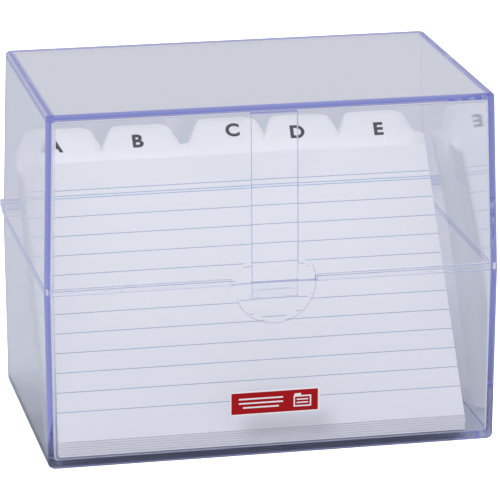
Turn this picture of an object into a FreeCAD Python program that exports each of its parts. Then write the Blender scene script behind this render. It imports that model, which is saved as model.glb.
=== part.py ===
import FreeCAD, Part
import math
import os

from FreeCAD import Vector

# Hinged clear box for A6 index cards, with a pack of ruled cards and an A to Z set of tab dividers.
# Frame: millimetres, +Z up, front towards -Y, origin under the middle of the box on its flat underside.

# --- box, overall ---
WIDTH = 163.0           # outside, across the front, at the seam
DEPTH = 105.0           # outside, front to back, at the seam
HEIGHT = 128.0          # underside to the top of the closed lid
SEAM_Z = 64.0           # where the tray meets the lid
WALL = 2.5              # side walls of tray and lid
FLOOR = 2.8             # floor of the tray
ROOF = 2.5              # top panel of the lid
TRAY_DRAFT = 0.5        # each side, from the seam down to the underside
LID_DRAFT = 1.8         # each side, from the seam up to the top
CORNER_R = 3.0          # upright outside corners
INNER_CORNER_R = 1.0    # upright inside corners
INNER_EDGE_R = 0.9      # rounded edge where the walls meet the floor and the roof inside
EDGE_R = 1.6            # rounded edge of underside and top
SEAM_GAP = 0.12         # daylight between the two rims when shut

# --- rim step that keeps lid and tray in line ---
LIP_T = 1.0
LIP_H = 2.0
LIP_GAP = 0.25
LIP_ROOT = 1.0          # the lip and its rebate start this far below the seam
LIP_DISH_GAP = 0.8      # the lip stops this far short of the dish
LIP_BACK_END = 10.0     # the lip stops this far short of the back
LIP_BACK_SLACK = 2.0    # the rebate runs on this much further than the lip

# --- thumb dish and latch tongue, middle of the front ---
DISH_R = 14.7
DISH_DEPTH = 1.3
DISH_BULGE = 0.7        # the wall swells inwards behind the dish
BULGE_ROOT = 0.2        # the swelling starts this deep inside the wall
TONGUE_W = 16.2
TONGUE_T = 1.3
TONGUE_TOP = 3.0        # root of the tongue, below the top of the lid
TONGUE_TAIL = 5.0       # the tongue reaches this far below the seam
SLOT_GAP = 0.35         # daylight beside the tongue
TAIL_GAP = 0.3          # daylight behind the tail of the tongue
CATCH_W = 10.0
CATCH_H = 0.25          # rib that the tail clicks over
CATCH_GROOVE = 0.15

# --- snap hinge at each back corner ---
HINGE_OUT = 3.0         # hinge axis, behind the back wall
HINGE_UP = 3.0          # hinge axis, above the seam
EAR_R = 2.6
EAR_T = 3.0
BAR_R = 1.2             # round bar between the lid's ears
BAR_CLEAR = 0.06        # running clearance of the bar in its clip
CLIP_W = 8.0
CLIP_GAP = 0.25         # between clip and ears
CLIP_MOUTH = 1.9        # the bar snaps in through this mouth
HEEL_LEN = 5.0          # stop heel, from the hinge axis
HEEL_T = 2.4
GUSSET_H = 8.0          # foot of the clip, below the seam
HINGE_END = 0.3         # outer ears stand in from the side faces
EAR_ROOT = 2.0          # the ears start this deep inside the lid's back wall
EAR_STEP = 0.2          # the ears' arms are this much thinner than the ears, each side
BAR_END = 0.5           # the bar stops this far short of the ears' outer faces
NECK_GAP = 0.1          # the clip's neck clears the lid's back wall

# --- ruled cards ---
CARD_W = 148.0
CARD_H = 105.0
CARD_T = 0.23
SHEET_GAP = 0.02        # air between sheets
FAN_CARDS = 6           # front cards pulled up a little, one after the other
FAN_STEP = 1.0
STACK_CARDS = 58
PACK_LEAN = 35.5        # degrees back from upright
PACK_LEFT_GAP = 2.3     # cards to the left inside wall, at the seam
PACK_FRONT_GAP = 1.4    # foot of the front card to the front inside wall
FLOOR_CLEAR = 0.05

# --- tab dividers ---
LEAF_H = 107.5
LEAF_T = 0.22
TAB_H = 9.6
TAB_PITCH = CARD_W / 5
TAB_TOP_W = 20.4
TAB_CORNER_R = 3.0
ROW_GAP = 0.10
TAB_ROWS = (("a", "b", "c", "d", "e"), ("f", "g", "h", "i", "j"), ("k", "l", "m", "n", "o"),
            ("p", "q", "r", "s", "t"), ("u", "v", "w", "xy", "z"))
PLACE_SLIDE = (0.0, 0.0, 3.4, 1.8, 0.8)   # how far the leaf with its tab at each place has slid to the right
ROW_SLIDE = (0.0, 1.6, 0.6, 2.0, 1.0)       # the same, for all the leaves of a row
PLACE_LIFT = (0.2, 0.0, 1.0, 0.6, 0.5)      # how far it stands off the floor

# --- front label ---
LABEL_W = 32.5
LABEL_H = 9.0
LABEL_Z = 20.0
LABEL_T = 0.12
LABEL_R = 0.8

BIG = 400.0
OVERCUT = 2.0           # a cavity is cut on this far past its open side
SAME_PLACE = 1e-4       # corners closer than this stand at one height

LEAN = math.radians(PACK_LEAN)
CARD_PITCH = CARD_T + SHEET_GAP
LEAF_PITCH = LEAF_T + SHEET_GAP
PACK_X0 = -WIDTH / 2 + WALL + PACK_LEFT_GAP
PACK_Y = -DEPTH / 2 + WALL + PACK_FRONT_GAP
HINGE_Y = DEPTH / 2 + HINGE_OUT
HINGE_Z = SEAM_Z + HINGE_UP
CARDS_T = (FAN_CARDS + STACK_CARDS) * CARD_PITCH + ROW_GAP
ROW_T = len(TAB_ROWS[0]) * LEAF_PITCH + ROW_GAP


def tapered_block(z0, w0, d0, z1, w1, d1, r):
    """Flat-sided block about the Z axis, w0 by d0 at z0 and w1 by d1 at z1, upright edges rounded to r."""
    wedge = Part.makeWedge(-w0 / 2, 0, -d0 / 2, -d1 / 2, -w1 / 2, w0 / 2, z1 - z0, d0 / 2, d1 / 2, w1 / 2)
    wedge.rotate(Vector(0, 0, 0), Vector(1, 0, 0), 90)
    wedge.translate(Vector(0, 0, z0))
    upright = [e for e in wedge.Edges if abs(e.Vertexes[0].Z - e.Vertexes[-1].Z) > (z1 - z0) / 2]
    return wedge.makeFillet(r, upright)


def tray_taper(z):
    """How far the tray's outside faces stand in from their size at the seam."""
    return TRAY_DRAFT * (SEAM_Z - z) / SEAM_Z


def lid_taper(z):
    """How far the lid's outside faces stand in from their size at the seam."""
    return LID_DRAFT * (z - SEAM_Z) / (HEIGHT - SEAM_Z)


def envelope(taper, z0, z1, inset, r):
    """Solid between two heights that follows the tray's or the lid's outside faces, inset from them."""
    i0, i1 = inset + taper(z0), inset + taper(z1)
    return tapered_block(z0, WIDTH - 2 * i0, DEPTH - 2 * i0, z1, WIDTH - 2 * i1, DEPTH - 2 * i1, r)


def prism(z0, z1, inset, r):
    """Upright block of the seam's size less the inset."""
    w, d = WIDTH - 2 * inset, DEPTH - 2 * inset
    return tapered_block(z0, w, d, z1, w, d, r)


def block(x0, x1, y0, y1, z0, z1):
    return Part.makeBox(x1 - x0, y1 - y0, z1 - z0, Vector(x0, y0, z0))


def fillet_at(shape, z, r):
    """Round every edge that lies at height z."""
    edges = [e for e in shape.Edges if all(abs(v.Z - z) < SAME_PLACE for v in e.Vertexes)]
    return shape.makeFillet(r, edges)


def plate_yz(points, x0, x1):
    """Straight-sided outline in Y and Z, carried from x0 to x1."""
    outline = [Vector(x0, y, z) for y, z in points]
    return Part.Face(Part.makePolygon(outline + outline[:1])).extrude(Vector(x1 - x0, 0, 0))


def rod_x(r, x0, x1, y, z):
    return Part.makeCylinder(r, x1 - x0, Vector(x0, y, z), Vector(1, 0, 0))


def ball_cap(r, rise, face_y):
    """Ball whose cap of radius r stands a given rise behind the plane y = face_y, at the seam."""
    ball_r = (r * r + rise * rise) / (2 * rise)
    return Part.makeSphere(ball_r, Vector(0, face_y + rise - ball_r, SEAM_Z))


def hinge_spans(side):
    """X ranges of the outer ear, the clip and the inner ear at the left (-1) or right (1) corner."""
    start = WIDTH / 2 - HINGE_END
    spans = []
    for thick, gap in ((EAR_T, CLIP_GAP), (CLIP_W, CLIP_GAP), (EAR_T, 0.0)):
        spans.append(tuple(sorted((side * start, side * (start - thick)))))
        start -= thick + gap
    return spans


def make_tray():
    rim = SEAM_Z - SEAM_GAP / 2
    body = fillet_at(envelope(tray_taper, 0.0, rim, 0.0, CORNER_R), 0.0, EDGE_R)

    lip = prism(SEAM_Z - LIP_ROOT, rim + LIP_H, WALL - LIP_T, CORNER_R - WALL + LIP_T)
    lip = lip.common(block(-BIG, BIG, -BIG, DEPTH / 2 - LIP_BACK_END, 0, BIG))
    notch = DISH_R + LIP_DISH_GAP
    lip = lip.cut(block(-notch, notch, -BIG, 0, 0, BIG))
    body = body.fuse(lip)

    cavity = envelope(tray_taper, FLOOR, SEAM_Z + LIP_H + OVERCUT, WALL, INNER_CORNER_R)
    body = body.cut(fillet_at(cavity, FLOOR, INNER_EDGE_R))
    inner_face = -DEPTH / 2 + WALL
    bulge = ball_cap(DISH_R, DISH_BULGE, inner_face).common(
        block(-BIG, BIG, inner_face - BULGE_ROOT, 0, 0, rim))
    body = body.fuse(bulge).cut(ball_cap(DISH_R, DISH_DEPTH, -DEPTH / 2))

    pocket_y = -DEPTH / 2 + TONGUE_T + TAIL_GAP
    half = TONGUE_W / 2 + SLOT_GAP
    body = body.cut(block(-half, half, -BIG, pocket_y, SEAM_Z - TONGUE_TAIL - SLOT_GAP, BIG))
    catch_z = SEAM_Z - TONGUE_TAIL / 2
    catch = rod_x(CATCH_H, -CATCH_W / 2, CATCH_W / 2, pocket_y, catch_z)
    body = body.fuse(catch)

    for side in (-1, 1):
        x0, x1 = hinge_spans(side)[1]
        wall_y = DEPTH / 2 - WALL / 2
        neck_y = HINGE_Y - EAR_R + NECK_GAP
        neck_z = rim - EAR_STEP
        web = plate_yz(((wall_y, rim - GUSSET_H), (DEPTH / 2, rim - GUSSET_H),
                        (HINGE_Y + EAR_R, rim), (HINGE_Y + EAR_R, HINGE_Z), (neck_y, HINGE_Z),
                        (neck_y, neck_z), (wall_y, neck_z)), x0, x1)
        clip = web.fuse(rod_x(EAR_R, x0, x1, HINGE_Y, HINGE_Z))
        clip = clip.cut(rod_x(BAR_R + BAR_CLEAR, x0, x1, HINGE_Y, HINGE_Z))
        clip = clip.cut(block(x0, x1, HINGE_Y - CLIP_MOUTH / 2, HINGE_Y + CLIP_MOUTH / 2, HINGE_Z, BIG))
        body = body.fuse(clip)
    return body.removeSplitter()


def make_lid():
    rim = SEAM_Z + SEAM_GAP / 2
    body = fillet_at(envelope(lid_taper, rim, HEIGHT, 0.0, CORNER_R), HEIGHT, EDGE_R)
    cavity = fillet_at(envelope(lid_taper, rim - OVERCUT, HEIGHT - ROOF, WALL, INNER_CORNER_R),
                       HEIGHT - ROOF, INNER_EDGE_R)
    inner_face = -DEPTH / 2 + WALL
    bulge = ball_cap(DISH_R, DISH_BULGE, inner_face).common(
        block(-BIG, BIG, inner_face - BULGE_ROOT, 0, rim, HEIGHT))
    dish = ball_cap(DISH_R, DISH_DEPTH, -DEPTH / 2)
    body = body.cut(cavity).fuse(bulge).cut(dish)

    rebate = prism(SEAM_Z - LIP_ROOT, SEAM_Z + LIP_H + LIP_GAP, WALL - LIP_T - LIP_GAP,
                   CORNER_R - WALL + LIP_T + LIP_GAP)
    rebate_end = DEPTH / 2 - LIP_BACK_END + LIP_BACK_SLACK
    body = body.cut(rebate.common(block(-BIG, BIG, -BIG, rebate_end, 0, BIG)))

    half = TONGUE_W / 2 + SLOT_GAP
    slot_top = HEIGHT - TONGUE_TOP + SLOT_GAP
    body = body.cut(block(-half, half, -BIG, -DEPTH / 2 + WALL + LID_DRAFT + DISH_BULGE, 0, slot_top))

    for side in (-1, 1):
        outer, clip, inner = hinge_spans(side)
        for x0, x1 in (outer, inner):
            ear = rod_x(EAR_R, x0, x1, HINGE_Y, HINGE_Z)
            arm = EAR_R - EAR_STEP
            ear = ear.fuse(block(x0, x1, DEPTH / 2 - EAR_ROOT, HINGE_Y, HINGE_Z - arm, HINGE_Z + arm))
            heel = block(x0, x1, HINGE_Y, HINGE_Y + HEEL_LEN, HINGE_Z - HEEL_T / 2, HINGE_Z + HEEL_T / 2)
            body = body.fuse(ear.fuse(heel))
        ends = (outer[0], inner[1]) if side < 0 else (inner[0], outer[1])
        body = body.fuse(rod_x(BAR_R, ends[0] + BAR_END, ends[1] - BAR_END, HINGE_Y, HINGE_Z))
    return body.removeSplitter()


def make_latch_tongue():
    top = HEIGHT - TONGUE_TOP
    front = block(-TONGUE_W / 2, TONGUE_W / 2, -BIG, 0, 0, top)
    strip = envelope(lid_taper, SEAM_Z, HEIGHT, 0.0, CORNER_R)
    strip = strip.cut(envelope(lid_taper, SEAM_Z, HEIGHT, TONGUE_T, CORNER_R))
    tail_z = SEAM_Z - TONGUE_TAIL
    tail = envelope(tray_taper, tail_z, SEAM_Z, 0.0, CORNER_R)
    tail = tail.cut(envelope(tray_taper, tail_z, SEAM_Z, TONGUE_T, CORNER_R))
    tongue = strip.common(front).fuse(tail.common(front))
    groove_y = -DEPTH / 2 + TONGUE_T
    groove = rod_x(CATCH_GROOVE, -BIG, BIG, groove_y, SEAM_Z - TONGUE_TAIL / 2)
    return tongue.cut(groove).removeSplitter()


def lean_back(shape, n, thick):
    """Set a sheet modelled upright at Y = 0 on the floor, n behind the pack's front plane, leaning."""
    shape.rotate(Vector(0, 0, 0), Vector(1, 0, 0), -PACK_LEAN)
    shape.translate(Vector(0, PACK_Y + n / math.cos(LEAN),
                           FLOOR + FLOOR_CLEAR + thick * math.sin(LEAN)))
    return shape


def make_card(n, lift):
    return lean_back(Part.makeBox(CARD_W, CARD_T, CARD_H, Vector(PACK_X0, 0, lift)), n, CARD_T)


def make_divider(row, place):
    """Leaf with one tab at the given place of five; the tab's sides slope and its corners are round."""
    left = PACK_X0 + PLACE_SLIDE[place] + ROW_SLIDE[row]
    foot = PLACE_LIFT[place]
    x0 = left + place * TAB_PITCH
    slope = (TAB_PITCH - TAB_TOP_W) / 2
    top = foot + LEAF_H + TAB_H
    outline = [(left, foot), (left + CARD_W, foot), (left + CARD_W, foot + LEAF_H),
               (x0 + TAB_PITCH, foot + LEAF_H), (x0 + TAB_PITCH - slope, top), (x0 + slope, top),
               (x0, foot + LEAF_H), (left, foot + LEAF_H)]
    if place == 0:
        del outline[-1]
    if place == len(PLACE_SLIDE) - 1:
        del outline[2]
    points = [Vector(x, 0, z) for x, z in outline]
    leaf = Part.Face(Part.makePolygon(points + points[:1])).extrude(Vector(0, LEAF_T, 0))
    round_at = [e for e in leaf.Edges if all(abs(v.Z - top) < SAME_PLACE for v in e.Vertexes)
                and abs(e.Vertexes[0].Y - e.Vertexes[-1].Y) > LEAF_T / 2]
    return lean_back(leaf.makeFillet(TAB_CORNER_R, round_at), CARDS_T + row * ROW_T + place * LEAF_PITCH, LEAF_T)


def make_label():
    skin = envelope(tray_taper, 0.0, SEAM_Z, -LABEL_T, CORNER_R)
    skin = skin.cut(envelope(tray_taper, 0.0, SEAM_Z, 0.0, CORNER_R))
    x, z = LABEL_W / 2, LABEL_H / 2
    window = block(-x, x, -BIG, 0, LABEL_Z - z, LABEL_Z + z)
    upright = [e for e in window.Edges if abs(e.Vertexes[0].Y - e.Vertexes[-1].Y) > BIG / 2]
    return skin.common(window.makeFillet(LABEL_R, upright))


def save(name, shapes):
    shape = shapes[0] if len(shapes) == 1 else Part.makeCompound(shapes)
    for solid in shape.Solids:
        if not solid.isValid() or solid.Volume <= 0:
            raise ValueError("bad solid in " + name)
    shape.exportStep("parts/" + name + ".step")
    print("%-16s %2d solid(s) %10.1f mm3" % (name, len(shape.Solids), shape.Volume))


os.makedirs("parts", exist_ok=True)
save("tray", [make_tray()])
save("lid", [make_lid()])
save("latch_tongue", [make_latch_tongue()])
save("label", [make_label()])

for i in range(FAN_CARDS):
    save("front_card_%d" % (i + 1), [make_card(i * CARD_PITCH, (FAN_CARDS - i) * FAN_STEP)])
save("card_stack", [make_card((FAN_CARDS + i) * CARD_PITCH, 0.0) for i in range(STACK_CARDS)])

for row, letters in enumerate(TAB_ROWS):
    for place, letter in enumerate(letters):
        save("divider_" + letter, [make_divider(row, place)])

print("pivots of the pack, y and z:")
for name, n in [("cards", 0.0)] + [("row %d" % (r + 1), CARDS_T + r * ROW_T) for r in range(len(TAB_ROWS))]:
    print("  %-6s %.3f %.3f" % (name, PACK_Y + n / math.cos(LEAN), FLOOR + FLOOR_CLEAR))
print("hinge axis, y and z: %.3f %.3f" % (HINGE_Y, HINGE_Z))
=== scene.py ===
import math

import bpy
import numpy as np
from bpy.props import FloatProperty, FloatVectorProperty, IntProperty, PointerProperty
from bpy.types import Operator, Panel, PropertyGroup
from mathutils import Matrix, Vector


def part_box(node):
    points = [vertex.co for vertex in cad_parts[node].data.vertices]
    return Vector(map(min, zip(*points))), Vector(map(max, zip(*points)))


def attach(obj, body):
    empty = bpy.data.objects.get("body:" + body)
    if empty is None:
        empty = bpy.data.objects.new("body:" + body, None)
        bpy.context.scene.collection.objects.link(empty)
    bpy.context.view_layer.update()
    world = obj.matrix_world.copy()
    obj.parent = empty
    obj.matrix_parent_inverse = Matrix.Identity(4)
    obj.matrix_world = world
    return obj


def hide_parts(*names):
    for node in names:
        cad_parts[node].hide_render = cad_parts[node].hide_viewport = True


bl_info = {
    "name": "Card Index Box",
    "version": (1, 0, 0),
    "blender": (4, 5, 0),
    "location": "3D View > Sidebar > Card Box",
    "description": "Finishes a clear card index box with ruled cards, lettered dividers and its label",
    "category": "Object",
}

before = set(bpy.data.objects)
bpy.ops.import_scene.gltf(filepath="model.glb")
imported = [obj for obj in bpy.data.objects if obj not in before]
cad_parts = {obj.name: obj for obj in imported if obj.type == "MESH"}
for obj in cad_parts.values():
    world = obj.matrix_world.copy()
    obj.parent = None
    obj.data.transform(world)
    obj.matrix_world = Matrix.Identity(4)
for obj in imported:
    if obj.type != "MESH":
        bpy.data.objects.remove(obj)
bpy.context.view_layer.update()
MM = 0.001

ROWS = (("a_e", "A B C D E"), ("f_j", "F G H I J"), ("k_o", "K L M N O"),
        ("p_t", "P Q R S T"), ("u_z", "U V W XY Z"))
FRONT_CARDS = [n for n in sorted(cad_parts) if n.startswith("front_card_")]
CLEAR_NODES = ("tray", "lid", "latch_tongue")

# box
SEAM_Z = 64 * MM
DISH_R = 14.7 * MM
FRONT_SKIN = -51.0 * MM       # the front wall's outer face lies in front of this plane, its inner face behind
CREASE_SHADE_TILT = 0.45            # the painted crease shade shows below a line through the dish's middle that rises so steeply
CREASE_SHADE_FADE = 3.0 * MM
SKIN_FADE = 0.1 * MM

# sheets
CARD_W = 148 * MM
CARD_H = 105 * MM
SHEET_GAP = 0.02 * MM         # air between sheets
BOW = 0.45 * MM               # how far the pack swells forward
BOW_SPAN = 0.125              # height over which it does
CARD_COLUMNS = 20
LEAF_COLUMNS = 22
TAB_COLUMNS = 60              # closer columns, where the tab is
TAB_REACH = 0.62              # how far each side of the tab's middle they go, as a share of its pitch
FRONT_ROWS = 16
STACK_ROWS = 12
LEAF_H = 107.5 * MM
TAB_H = 9.6 * MM
TAB_PITCH = CARD_W / 5
TAB_TOP_W = 20.4 * MM
TAB_SOFT = 1.9 * MM           # rounding of a tab's top corners
NOTCH_SOFT = 0.8 * MM         # rounding of its feet
# Foot of the letter at each of the five places above the shoulder, and how far it is right of the tab's middle, mm
LETTER_UP = (2.2, 2.6, 3.9, 2.1, 1.7)
LETTER_ASIDE = (-2.0, -0.7, 2.5, -1.0, 1.5)
LETTER_WIDEN = 1.12
LETTER_BOLD = 0.26 * MM
INK_T = 0.012 * MM            # half the thickness of the printed ink
INK_LIFT = 0.006 * MM
CAPITAL_SHARE = 0.72          # a capital's height as a share of the font's size

# print, in millimetres on the sheet
PRINT_SOFT = 0.06             # softness of a printed line's edge
BLOCK_SOFT = 0.1              # softness of the end of the ruled block
DOUBLE_GAP = 0.95             # between the two lines of the double rule
TITLE_GAP = 2.1               # from the double rule up to the title rule

FLOOR_HALF = 6.0


# ---------------------------------------------------------------- settings

class PlasticSettings(PropertyGroup):
    """Finish of the clear moulded box."""
    tint: FloatVectorProperty(
        name="Tint", description="Colour that a long way through the plastic leaves", subtype="COLOR",
        default=(0.30, 0.34, 0.80), min=0.0, max=1.0)
    density: FloatProperty(
        name="Density", description="How strongly the plastic takes up light, per metre",
        default=9.5, min=0.0)
    ior: FloatProperty(name="Index", description="Index of refraction of polystyrene", default=1.59, min=1.0)
    # These two settings make the plastic glow as painted light: once light has turned that often inside it, the
    # plastic emits one even colour there.
    glow_after_turns: IntProperty(
        name="Trapped after", description="Turns inside the plastic after which light is taken as trapped",
        default=9, min=2)
    painted_glow_colour: FloatVectorProperty(
        name="Trapped light", description="Colour of the light that edges hold", subtype="COLOR",
        default=(0.33, 0.36, 0.66), min=0.0, max=1.0)
    # The crease settings paint the shade of the thumb dish's crease: a thin darker line in the plastic's own
    # colour.
    crease_shade_width: FloatProperty(
        name="Crease", description="Line round the thumb dish", subtype="DISTANCE", default=0.28 * MM)
    crease_shade_colour: FloatVectorProperty(
        name="Crease colour", description="What the line lets through", subtype="COLOR",
        default=(0.42, 0.45, 0.60), min=0.0, max=1.0)
    roughness: FloatProperty(
        name="Roughness", description="Polish of the mould", subtype="FACTOR",
        default=0.015, min=0.0, max=1.0)


class PaperSettings(PropertyGroup):
    """Cards, dividers and their print."""
    card_colour: FloatVectorProperty(
        name="Card", description="Ruled card stock", subtype="COLOR",
        default=(0.90, 0.90, 0.90), min=0.0, max=1.0)
    divider_colour: FloatVectorProperty(
        name="Divider", description="Divider stock", subtype="COLOR",
        default=(0.88, 0.88, 0.87), min=0.0, max=1.0)
    rule_colour: FloatVectorProperty(
        name="Rule colour", description="Thin printed rules", subtype="COLOR",
        default=(0.08, 0.15, 0.38), min=0.0, max=1.0)
    head_colour: FloatVectorProperty(
        name="Double rule colour", description="Double rule under the heading", subtype="COLOR",
        default=(0.08, 0.28, 0.62), min=0.0, max=1.0)
    rule_pitch: FloatProperty(
        name="Rule pitch", description="Distance between rules", subtype="DISTANCE", default=7.32 * MM)
    rule_width: FloatProperty(
        name="Rule width", description="Thickness of a rule", subtype="DISTANCE", default=0.24 * MM)
    foot_margin: FloatProperty(
        name="Foot margin", description="Lowest rule above the foot of a card", subtype="DISTANCE",
        default=11.0 * MM)
    rules: IntProperty(name="Rule count", description="Rules below the heading", default=11, min=1)
    head_gap: FloatProperty(
        name="Heading gap", description="Top rule of the block to the double rule", subtype="DISTANCE",
        default=7.98 * MM)
    letter_height: FloatProperty(
        name="Letter height", description="Capitals on the tabs", subtype="DISTANCE", default=4.9 * MM)


class StageSettings(PropertyGroup):
    """Camera and light."""
    lens: FloatProperty(name="Lens", description="Focal length", unit="CAMERA", default=257.27)
    camera_place: FloatVectorProperty(
        name="Camera", description="Where the camera stands", subtype="TRANSLATION",
        default=(-0.2561, -1.2236, 0.4315))
    camera_turn: FloatVectorProperty(
        name="Turn", description="Camera rotation", subtype="EULER",
        default=(math.radians(73.487), 0.0, math.radians(-11.914)))
    room: FloatVectorProperty(
        name="Room", description="Colour and brightness of the even light all round", subtype="COLOR",
        default=(0.68, 0.68, 0.715), min=0.0, max=4.0)
    table: FloatVectorProperty(
        name="Table", description="The floor as the plastic shows it", subtype="COLOR",
        default=(0.40, 0.415, 0.455), min=0.0, max=1.0)
    key_power: FloatProperty(
        name="Key", description="Lamp in front, to the left", unit="POWER", default=24.0, min=0.0)
    top_power: FloatProperty(name="Top", description="Lamp overhead", unit="POWER", default=35.0, min=0.0)


# ---------------------------------------------------------------- shader maths

class Sock:
    """A shader socket that takes part in arithmetic: each operation adds its Math node."""

    def __init__(self, graph, socket):
        self.graph = graph
        self.socket = socket

    def _math(self, operation, *values):
        return self.graph.node("ShaderNodeMath", {"operation": operation}, *values)

    def __add__(self, other):
        return self._math("ADD", self, other)

    def __sub__(self, other):
        return self._math("SUBTRACT", self, other)

    def __rsub__(self, other):
        return self._math("SUBTRACT", other, self)

    def __mul__(self, other):
        return self._math("MULTIPLY", self, other)

    def __truediv__(self, other):
        return self._math("DIVIDE", self, other)

    __radd__ = __add__
    __rmul__ = __mul__

    def below(self, edge, soft):
        """1 where the value is well under edge, 0 well over it, changing over the width soft."""
        ramp = self._math("DIVIDE", self._math("SUBTRACT", edge, self), soft)
        return self.graph.node("ShaderNodeMath", {"operation": "ADD", "use_clamp": True}, ramp, 0.5)

    def above(self, edge):
        """1 over edge, 0 up to it."""
        return self._math("GREATER_THAN", self, edge)

    def abs(self):
        return self._math("ABSOLUTE", self)

    def root(self):
        return self._math("SQRT", self)

    def fract(self):
        return self._math("FRACT", self)

    def max(self, other):
        return self._math("MAXIMUM", self, other)


MIX_UNUSED = (None,) * 5      # a Mix node's number and vector inputs, between its factor and its colours
MIX_COLOUR_OUT = 2            # and its output for colours


class Graph:
    """Node tree of one material or world."""

    def __init__(self, owner):
        self.owner = owner
        owner.use_nodes = True
        self.tree = owner.node_tree
        self.tree.nodes.clear()

    def node(self, kind, settings=None, *values, output=0, **named):
        """Add a node: its type, its settings, then the values or links of its sockets by order or name."""
        made = self.tree.nodes.new(kind)
        for key, value in (settings or {}).items():
            setattr(made, key, value)
        for index, value in list(enumerate(values)) + list(named.items()):
            target = made.inputs[index if isinstance(index, int) else index.replace("_", " ")]
            if isinstance(value, Sock):
                self.tree.links.new(value.socket, target)
            elif value is not None:
                target.default_value = value
        return Sock(self, made.outputs[output]) if made.outputs else None

    def mix(self, factor, a, b):
        """Colour between a and b."""
        a, b = (c if isinstance(c, Sock) else (*c[:3], 1.0) for c in (a, b))
        return self.node("ShaderNodeMix", {"data_type": "RGBA"}, factor, *MIX_UNUSED, a, b,
                         output=MIX_COLOUR_OUT)

    def split(self, vector):
        """The three parts of a vector."""
        first = self.node("ShaderNodeSeparateXYZ", None, vector)
        return [Sock(self, socket) for socket in first.socket.node.outputs]

    def place(self, what="Object"):
        """Object coordinates, or the piece's own UV map, as a vector."""
        return self.node("ShaderNodeTexCoord", output=what)

    def noise(self, where, scale, detail=3.0, roughness=0.5):
        return self.node("ShaderNodeTexNoise", {"noise_dimensions": "3D"}, Vector=where, Scale=scale,
                         Detail=detail, Roughness=roughness)

    def stretch(self, where, scale):
        return self.node("ShaderNodeMapping", {"vector_type": "POINT"}, Vector=where, Scale=scale)

    def bump(self, height, distance, strength=1.0):
        return self.node("ShaderNodeBump", None, Height=height, Distance=distance, Strength=strength)

    def seen_directly(self):
        """1 on the camera's own rays, 0 on rays that have met a surface."""
        return self.node("ShaderNodeLightPath", output="Is Camera Ray")

    def finish(self, surface, volume=None):
        """Join the output node and give back the material or world."""
        kind = "World" if isinstance(self.owner, bpy.types.World) else "Material"
        self.node("ShaderNodeOutput" + kind, None, Surface=surface, Volume=volume)
        return self.owner


# ---------------------------------------------------------------- materials

def clear_plastic():
    """Polished clear polystyrene: faint moulding waves, fine wipe marks in the polish, violet-blue in depth, and
    painted shade of the thumb dish's crease, drawn into the base colour as a thin round darker line on the front
    face. Light that has turned often inside an edge is followed no further, and the plastic there glows with one
    even colour in its place: painted light."""
    s = bpy.context.scene.box_plastic
    g = Graph(bpy.data.materials.new("clear_polystyrene"))
    where = g.place()
    waves = g.noise(where, 22.0, 2.0)
    x, y, z = g.split(where)
    # Painted shade: a thin darker ring where the thumb dish's crease is, only on the front face and below a tilted
    # line.
    radius = (x * x + (z - SEAM_Z) * (z - SEAM_Z)).root()
    half = s.crease_shade_width / 2
    crease_shade = (radius - DISH_R).abs().below(half, half) * y.below(FRONT_SKIN, SKIN_FADE)
    crease_shade = crease_shade * (z - SEAM_Z - CREASE_SHADE_TILT * x).below(0.0, CREASE_SHADE_FADE)
    # The plastic's faint tint, with the painted crease shade mixed in.
    clear = g.mix(crease_shade, (0.985, 0.988, 1.0), s.crease_shade_colour)
    marks = g.noise(g.stretch(where, (900.0, 900.0, 120.0)), 1.0, 2.0)
    cloud = g.noise(where, 60.0, 3.0)
    roughness = s.roughness + 0.03 * (marks * cloud)
    normal = g.bump(waves + 0.05 * marks, 0.00006, 0.35)
    glass = g.node("ShaderNodeBsdfPrincipled", None, Base_Color=clear, Roughness=roughness,
                   IOR=s.ior, Transmission_Weight=1.0, Normal=normal)
    through = g.node("ShaderNodeBsdfTransparent", None, Color=(0.93, 0.94, 0.97, 1.0))
    lamps = g.node("ShaderNodeLightPath", output="Is Shadow Ray")
    surface = g.node("ShaderNodeMixShader", None, lamps, glass, through)
    # Painted light: past that many turns the plastic glows with one even colour instead of following the light
    # further.
    glow_mask = g.node("ShaderNodeLightPath", output="Ray Depth").above(s.glow_after_turns)
    painted_glow = g.node("ShaderNodeEmission", None, (*s.painted_glow_colour, 1.0), 1.0)
    surface = g.node("ShaderNodeMixShader", None, glow_mask, surface, painted_glow)
    volume = g.node("ShaderNodeVolumeAbsorption", None, Color=(*s.tint, 1.0), Density=s.density)
    return g.finish(surface, volume)


def paper_grain(g, where):
    """Fine fibre height and slow cloudiness of white card."""
    fibres = g.noise(g.stretch(where, (2600.0, 1500.0, 1.0)), 1.0, 4.0, 0.6)
    cloud = g.noise(g.stretch(where, (60.0, 60.0, 1.0)), 1.0, 3.0)
    return fibres, cloud


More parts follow.
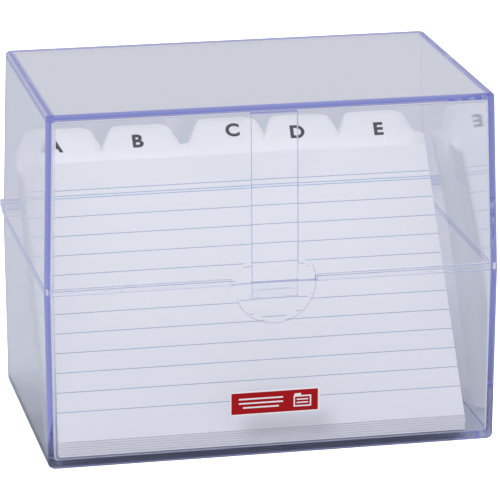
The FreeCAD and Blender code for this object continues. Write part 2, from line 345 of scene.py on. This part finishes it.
def ruled_card():
    """White card printed with a heading rule, a double rule and evenly spaced rules; the UV map is in
    millimetres, from the card's lower left corner, so that the rules follow the sheet."""
    s = bpy.context.scene.box_paper
    g = Graph(bpy.data.materials.new("ruled_card_stock"))
    uv = g.place("UV")
    u, v, _ = g.split(uv)
    fibres, cloud = paper_grain(g, uv)
    mm = 1.0 / MM
    pitch, half, foot = s.rule_pitch * mm, s.rule_width * mm / 2, s.foot_margin * mm
    last = foot + pitch * (s.rules - 1)
    step = (v - (foot - pitch / 2)) / pitch
    from_line = ((step.fract() - 0.5) * pitch).abs()
    block = v.below(last + pitch / 2, BLOCK_SOFT) * (1.0 - v.below(foot - pitch / 2, BLOCK_SOFT))
    rules = from_line.below(half, PRINT_SOFT) * block

    def line(at):
        return (v - at).abs().below(half, PRINT_SOFT)

    head = last + s.head_gap * mm
    double = line(head).max(line(head - DOUBLE_GAP))
    title = line(head + TITLE_GAP)
    ink = 0.8 + 0.35 * fibres
    stock = g.mix(0.05 * cloud, s.card_colour, [c * 0.9 for c in s.card_colour])
    base = g.mix(rules.max(title) * ink * 0.75, stock, s.rule_colour)
    base = g.mix(double * ink * 0.9, base, s.head_colour)
    shader = g.node("ShaderNodeBsdfPrincipled", None, Base_Color=base, Roughness=0.55 + 0.15 * fibres,
                    IOR=1.45, Normal=g.bump(fibres, 0.00002, 0.3))
    return g.finish(shader)


def divider_card():
    """Plain, slightly warmer and stiffer card than the ruled sheets."""
    s = bpy.context.scene.box_paper
    g = Graph(bpy.data.materials.new("divider_stock"))
    uv = g.place("UV")
    fibres, cloud = paper_grain(g, uv)
    base = g.mix(0.06 * cloud, s.divider_colour, [c * 0.88 for c in s.divider_colour])
    shader = g.node("ShaderNodeBsdfPrincipled", None, Base_Color=base, Roughness=0.5 + 0.15 * fibres,
                    IOR=1.45, Normal=g.bump(fibres, 0.00002, 0.3))
    return g.finish(shader)


def letter_ink():
    """Black print with the card's fibres just showing."""
    g = Graph(bpy.data.materials.new("black_print"))
    where = g.place()
    speck = g.noise(where, 4200.0, 3.0)
    base = g.mix(speck * 0.5, (0.012, 0.012, 0.014), (0.05, 0.05, 0.055))
    shader = g.node("ShaderNodeBsdfPrincipled", None, Base_Color=base, Roughness=0.4 + 0.2 * speck, IOR=1.45,
                    Normal=g.bump(speck, 0.000004, 0.3))
    return g.finish(shader)


def label_print():
    """Red printed label with a white line round it and a small plain picture of an index card."""
    low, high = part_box("label")
    g = Graph(bpy.data.materials.new("label_print"))
    x, y, z = g.split(g.place())
    cx, cz = (low.x + high.x) / 2, (low.z + high.z) / 2
    half_w, half_h = (high.x - low.x) / 2, (high.z - low.z) / 2
    soft = 0.05 * MM

    def bar(at_x, at_z, w, h):
        return (x - at_x).abs().below(w / 2, soft) * (z - at_z).abs().below(h / 2, soft)

    inside = bar(cx, cz, 2 * half_w - 1.1 * MM, 2 * half_h - 1.1 * MM)
    icon_x = cx + half_w - 6.2 * MM
    card = bar(icon_x, cz - 0.3 * MM, 6.4 * MM, 4.2 * MM)
    hollow = bar(icon_x, cz - 0.3 * MM, 5.4 * MM, 3.2 * MM)
    tab = bar(icon_x - 1.7 * MM, cz + 2.1 * MM, 2.4 * MM, 1.0 * MM)
    upper, lower = (bar(icon_x, cz + at * MM, 4.2 * MM, 0.45 * MM) for at in (0.3, -0.9))
    lines = upper.max(lower)
    icon = (card - hollow).max(tab).max(lines)
    strokes = None
    for i in range(3):
        stroke = bar(cx - 5.0 * MM, cz + (1.6 - 1.6 * i) * MM, (16.0 - 3.0 * (i == 2)) * MM, 0.55 * MM)
        strokes = stroke if strokes is None else strokes.max(stroke)
    white = (1.0 - inside).max(icon).max(strokes)
    grain = g.noise(g.place(), 2400.0, 3.0)
    red = g.mix(grain * 0.4, (0.42, 0.004, 0.008), (0.34, 0.003, 0.006))
    base = g.mix(white, red, (0.9, 0.9, 0.9))
    shader = g.node("ShaderNodeBsdfPrincipled", None, Base_Color=base, Roughness=0.5 + 0.1 * grain, IOR=1.25,
                    Normal=g.bump(grain, 0.000006, 0.3))
    return g.finish(shader)


def floor_paint():
    """Pale floor, shown white where nothing stands before it and softer through or off the plastic."""
    s = bpy.context.scene.box_stage
    g = Graph(bpy.data.materials.new("pale_floor"))
    cloud = g.noise(g.place(), 3.0, 2.0)
    white = g.mix(cloud * 0.3, (0.95, 0.95, 0.955), (0.93, 0.93, 0.94))
    direct = g.seen_directly()
    base = g.mix(direct, s.table, white)
    glow = g.mix(direct, (0.0, 0.0, 0.0), white)
    shader = g.node("ShaderNodeBsdfPrincipled", None, Base_Color=base, Roughness=0.9, IOR=1.3,
                    Emission_Color=glow, Emission_Strength=0.5)
    return g.finish(shader)


MADE = {}


def material(maker):
    """The material a function makes, made once."""
    if maker not in MADE:
        MADE[maker] = maker()
    return MADE[maker]


# ---------------------------------------------------------------- geometry

def put_mesh(name, points, quads, uvs=None, smooth=True):
    """Mesh object at the origin from an array of points and an array of four-cornered faces."""
    mesh = bpy.data.meshes.new(name)
    mesh.from_pydata(points.tolist(), [], quads.tolist())
    if uvs is not None:
        layer = mesh.uv_layers.new(name="sheet_mm")
        loops = np.empty(len(mesh.loops), np.int32)
        mesh.loops.foreach_get("vertex_index", loops)
        layer.data.foreach_set("uv", uvs[loops].astype(np.float32).ravel())
    mesh.polygons.foreach_set("use_smooth", np.full(len(mesh.polygons), smooth))
    mesh.update()
    made = bpy.data.objects.new(name, mesh)
    bpy.context.scene.collection.objects.link(made)
    return made


class SheetFrame:
    """How a leaning sheet stands, read from its CAD node: its foot is the front lower corner, up runs along
    the sheet and back stands square to it. A stack of sheets is given the direction of one of them."""

    def __init__(self, node, up=None):
        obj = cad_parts[node]
        co = np.empty(len(obj.data.vertices) * 3)
        obj.data.vertices.foreach_get("co", co)
        co = co.reshape(-1, 3)
        foot, heel, far = co[co[:, 1].argmin()], co[co[:, 2].argmin()], co[co[:, 1].argmax()]
        if up is None:
            up = (far - heel) * (0, 1, 1)
        self.up = up / np.linalg.norm(up)
        self.back = np.array((0.0, self.up[2], -self.up[1]))
        self.foot = np.array((co[:, 0].min(), foot[1], foot[2]))
        self.width = float(np.ptp(co[:, 0]))
        self.depth = float(((co - self.foot) @ self.back).max())

    def place(self, u, v, n):
        """Points of the sheet: u across, v up it and n behind its front face, with the pack's shared soft bow,
        which swells forward as a half wave across and a half wave up, and is nothing at the foot."""
        across = np.sin(np.pi * np.clip(u / self.width, 0, 1))
        bow = BOW * across * np.sin(np.pi * np.clip(v / BOW_SPAN, 0, 1))
        n = n - bow
        return (self.foot + u[..., None] * np.array((1.0, 0.0, 0.0))
                + v[..., None] * self.up + n[..., None] * self.back)


def sheet_grid(sheet, u, top, v0, depth, shift, rows):
    """Closed thin sheet. Columns stand at the places u, and each runs from v0 up to top. The front and back
    layers are the same grid, depth apart, and a strip of faces closes the rim. Returns points, faces and the UV
    map in millimetres."""
    share = np.linspace(0.0, 1.0, rows)[:, None]
    v = v0 + share * (top - v0)[None, :]
    uu = np.broadcast_to(u, v.shape)
    layers = [sheet.place(uu + shift, v, np.full(v.shape, n)) for n in (0.0, depth)]
    points = np.concatenate([p.reshape(-1, 3) for p in layers])
    flat = np.stack((uu, v - v0), -1).reshape(-1, 2) / MM
    cols = len(u)
    count = rows * cols
    i = (np.arange(rows - 1)[:, None] * cols + np.arange(cols - 1)).ravel()
    front = np.stack((i, i + 1, i + 1 + cols, i + cols), -1)
    behind = front[:, ::-1] + count
    rim = np.concatenate((np.arange(cols), np.arange(2, rows + 1) * cols - 1,
                          np.arange(count - 2, count - cols - 1, -1), np.arange(rows - 2, -1, -1) * cols))
    nxt = np.roll(rim, -1)
    keep = rim != nxt
    side = np.stack((rim, rim + count, nxt + count, nxt), -1)[keep]
    return points, np.concatenate((front, behind, side)), np.concatenate((flat, flat))


def join_grids(grids):
    """One set of arrays from several."""
    points, faces, uvs, start = [], [], [], 0
    for p, f, t in grids:
        points.append(p)
        faces.append(f + start)
        uvs.append(t)
        start += len(p)
    return np.concatenate(points), np.concatenate(faces), np.concatenate(uvs)


def flat_sheet(name, grids, stock, body, nodes):
    """Sheets as one piece, with their stock, on their body and in place of their CAD nodes."""
    made = put_mesh(name, *join_grids(grids))
    made.data.set_sharp_from_angle(angle=math.radians(40))
    made.data.materials.append(material(stock))
    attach(made, body)
    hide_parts(*nodes)
    return made


def smooth_corner(a, b, r):
    """The lower of a and b, with the corner where they cross rounded over about r: half of their sum, less half
    the root of their squared difference plus the square of r."""
    return 0.5 * (a + b - np.sqrt((a - b) ** 2 + r * r))


def tab_outline(place):
    """Columns and top edge of a divider. The tab's top edge is the soft minimum of its flat top and its two
    sloping sides, and its foot runs into the shoulder by a soft maximum."""
    centre = (place + 0.5) * TAB_PITCH
    side = (TAB_PITCH - TAB_TOP_W) / 2
    near_tab = centre + np.linspace(-TAB_REACH, TAB_REACH, TAB_COLUMNS) * TAB_PITCH
    u = np.unique(np.concatenate((np.linspace(0.0, CARD_W, LEAF_COLUMNS), np.clip(near_tab, 0.0, CARD_W))))
    slope = TAB_H / side
    rise = (TAB_PITCH / 2 - np.abs(u - centre)) * slope
    capped = smooth_corner(rise, TAB_H, TAB_SOFT)
    top = -smooth_corner(-capped, 0.0, NOTCH_SOFT)
    return u, LEAF_H + np.clip(top, 0.0, TAB_H)


# ---------------------------------------------------------------- operators

class CARDBOX_OT_clear_parts(Operator):
    """Give the tray, lid and latch tongue their clear plastic"""
    bl_idname = "cardbox.clear_parts"
    bl_label = "Clear parts"

    def execute(self, context):
        for name in CLEAR_NODES:
            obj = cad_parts[name]
            obj.data.materials.clear()
            obj.data.materials.append(material(clear_plastic))
        return {"FINISHED"}


class CARDBOX_OT_ruled_cards(Operator):
    """Make the front cards and the stack behind them as thin printed sheets"""
    bl_idname = "cardbox.ruled_cards"
    bl_label = "Ruled cards"

    def execute(self, context):
        columns = np.linspace(0.0, CARD_W, CARD_COLUMNS)
        top = np.full_like(columns, CARD_H)
        for i, node in enumerate(FRONT_CARDS):
            sheet = SheetFrame(node)
            thick = sheet.depth
            aside = 0.35 * MM * math.sin(2.4 * i + 0.6)
            grid = sheet_grid(sheet, columns, top, 0.0, thick, aside, FRONT_ROWS)
            flat_sheet("ruled_card_%d" % (i + 1), [grid], ruled_card, "cards", [node])
        sheet = SheetFrame("card_stack", sheet.up)
        count = round((sheet.depth + SHEET_GAP) / (thick + SHEET_GAP))
        pitch = (sheet.depth + SHEET_GAP) / count
        grids = []
        for i in range(count):
            aside = 0.25 * MM * math.sin(1.9 * i) * math.cos(0.7 * i)
            start = i * pitch
            points, faces, uvs = sheet_grid(sheet, columns, top, 0.0, thick, aside, STACK_ROWS)
            shift = np.array((0.0, start / sheet.up[2], 0.0))
            grids.append((points + shift, faces, uvs))
        flat_sheet("ruled_card_stack", grids, ruled_card, "cards", ["card_stack"])
        return {"FINISHED"}


class CARDBOX_OT_dividers(Operator):
    """Make the tab dividers and the letters printed on their tabs"""
    bl_idname = "cardbox.dividers"
    bl_label = "Dividers"

    def execute(self, context):
        paper = context.scene.box_paper
        for row, letters in ROWS:
            for place, letter in enumerate(letters.split()):
                node = "divider_" + letter.lower()
                sheet = SheetFrame(node)
                u, top = tab_outline(place)
                grid = sheet_grid(sheet, u, top, 0.0, sheet.depth, 0.0, FRONT_ROWS)
                body = "dividers_" + row
                flat_sheet("index_" + node, [grid], divider_card, body, [node])
                self.print_letter(sheet, letter, place, body, paper.letter_height)
        return {"FINISHED"}

    @staticmethod
    def print_letter(sheet, letter, place, body, height):
        """Black capitals on the tab: a filled outline made a thin mesh, then laid on the bowed sheet."""
        curve = bpy.data.curves.new("letter", "FONT")
        curve.body = letter
        curve.size = height / CAPITAL_SHARE
        curve.offset = LETTER_BOLD
        curve.extrude = INK_T
        curve.resolution_u = 6
        curve.align_x = "CENTER"
        holder = bpy.data.objects.new("letter", curve)
        bpy.context.scene.collection.objects.link(holder)
        bpy.context.view_layer.update()
        mesh = bpy.data.meshes.new_from_object(holder)
        bpy.data.objects.remove(holder)
        co = np.empty(len(mesh.vertices) * 3)
        mesh.vertices.foreach_get("co", co)
        x, y, z = co.reshape(-1, 3).T
        x = x * LETTER_WIDEN
        centre = (place + 0.5) * TAB_PITCH + LETTER_ASIDE[place] * MM
        foot = LEAF_H + LETTER_UP[place] * MM
        co = sheet.place(x + centre, y + foot, -z - INK_LIFT)
        mesh.vertices.foreach_set("co", co.ravel())
        mesh.update()
        made = bpy.data.objects.new("letter_" + letter.lower(), mesh)
        bpy.context.scene.collection.objects.link(made)
        mesh.materials.clear()
        mesh.materials.append(material(letter_ink))
        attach(made, body)


class CARDBOX_OT_label(Operator):
    """Print the label on the front of the tray"""
    bl_idname = "cardbox.label"
    bl_label = "Label"

    def execute(self, context):
        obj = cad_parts["label"]
        obj.data.materials.clear()
        obj.data.materials.append(material(label_print))
        return {"FINISHED"}


class CARDBOX_OT_stage(Operator):
    """Set the floor, the soft light and the camera"""
    bl_idname = "cardbox.stage"
    bl_label = "Stage"

    def execute(self, context):
        scene = context.scene
        s = scene.box_stage
        half = FLOOR_HALF
        corners = np.array([(-half, -half, 0), (half, -half, 0), (half, half, 0), (-half, half, 0)])
        floor = put_mesh("floor", corners, np.array([(0, 1, 2, 3)]), smooth=False)
        floor.data.materials.append(material(floor_paint))

        self.light_room(scene, s.room)
        lamps = (("key", (-1.1, -1.3, 1.9), 1.3, s.key_power), ("top", (0.4, 0.3, 2.2), 1.6, s.top_power))
        for name, place, size, power in lamps:
            light = bpy.data.lights.new(name, "AREA")
            light.shape = "DISK"
            light.size = size
            light.energy = power
            lamp = bpy.data.objects.new(name, light)
            scene.collection.objects.link(lamp)
            lamp.location = place
            lamp.visible_glossy = lamp.visible_transmission = False
            lamp.rotation_euler = look_at(place, (0.0, 0.0, 0.06))

        camera = bpy.data.cameras.new("camera")
        camera.lens = s.lens
        camera.sensor_width = 36.0
        camera.clip_start = 0.05
        camera.clip_end = 50.0
        eye = bpy.data.objects.new("camera", camera)
        scene.collection.objects.link(eye)
        eye.location = s.camera_place
        eye.rotation_euler = s.camera_turn
        scene.camera = eye
        scene.view_settings.view_transform = "Standard"
        cycles = scene.cycles
        cycles.max_bounces = cycles.transmission_bounces = cycles.transparent_max_bounces = 24
        cycles.glossy_bounces = 14
        return {"FINISHED"}

    @staticmethod
    def light_room(scene, colour):
        """Even light from all round, white where it is seen directly."""
        g = Graph(bpy.data.worlds.new("soft_room"))
        shades = (colour, (1.0, 1.0, 1.0))
        soft, white = (g.node("ShaderNodeBackground", None, (*shade, 1.0)) for shade in shades)
        scene.world = g.finish(g.node("ShaderNodeMixShader", None, g.seen_directly(), soft, white))


def look_at(place, target):
    """Rotation that points a lamp's axis from place to target."""
    return (Vector(target) - Vector(place)).to_track_quat("-Z", "Y").to_euler()


class CARDBOX_PT_panel(Panel):
    """Sizes, colours and steps of the card index box"""
    bl_idname = "CARDBOX_PT_panel"
    bl_label = "Card Index Box"
    bl_space_type = "VIEW_3D"
    bl_region_type = "UI"
    bl_category = "Card Box"

    def draw(self, context):
        layout = self.layout
        for group in (context.scene.box_plastic, context.scene.box_paper, context.scene.box_stage):
            box = layout.box()
            for name in group.bl_rna.properties.keys():
                if name not in ("rna_type", "name"):
                    box.prop(group, name)
        for step in STEPS:
            layout.operator(step.bl_idname)


STEPS = (CARDBOX_OT_clear_parts, CARDBOX_OT_ruled_cards, CARDBOX_OT_dividers, CARDBOX_OT_label,
         CARDBOX_OT_stage)
CLASSES = (PlasticSettings, PaperSettings, StageSettings) + STEPS + (CARDBOX_PT_panel,)


def register():
    for cls in CLASSES:
        bpy.utils.register_class(cls)
    bpy.types.Scene.box_plastic = PointerProperty(type=PlasticSettings)
    bpy.types.Scene.box_paper = PointerProperty(type=PaperSettings)
    bpy.types.Scene.box_stage = PointerProperty(type=StageSettings)


def unregister():
    del bpy.types.Scene.box_plastic, bpy.types.Scene.box_paper, bpy.types.Scene.box_stage
    for cls in reversed(CLASSES):
        bpy.utils.unregister_class(cls)


def main():
    register()
    bpy.ops.cardbox.clear_parts()
    bpy.ops.cardbox.ruled_cards()
    bpy.ops.cardbox.dividers()
    bpy.ops.cardbox.label()
    bpy.ops.cardbox.stage()


if __name__ == "__main__":
    main()
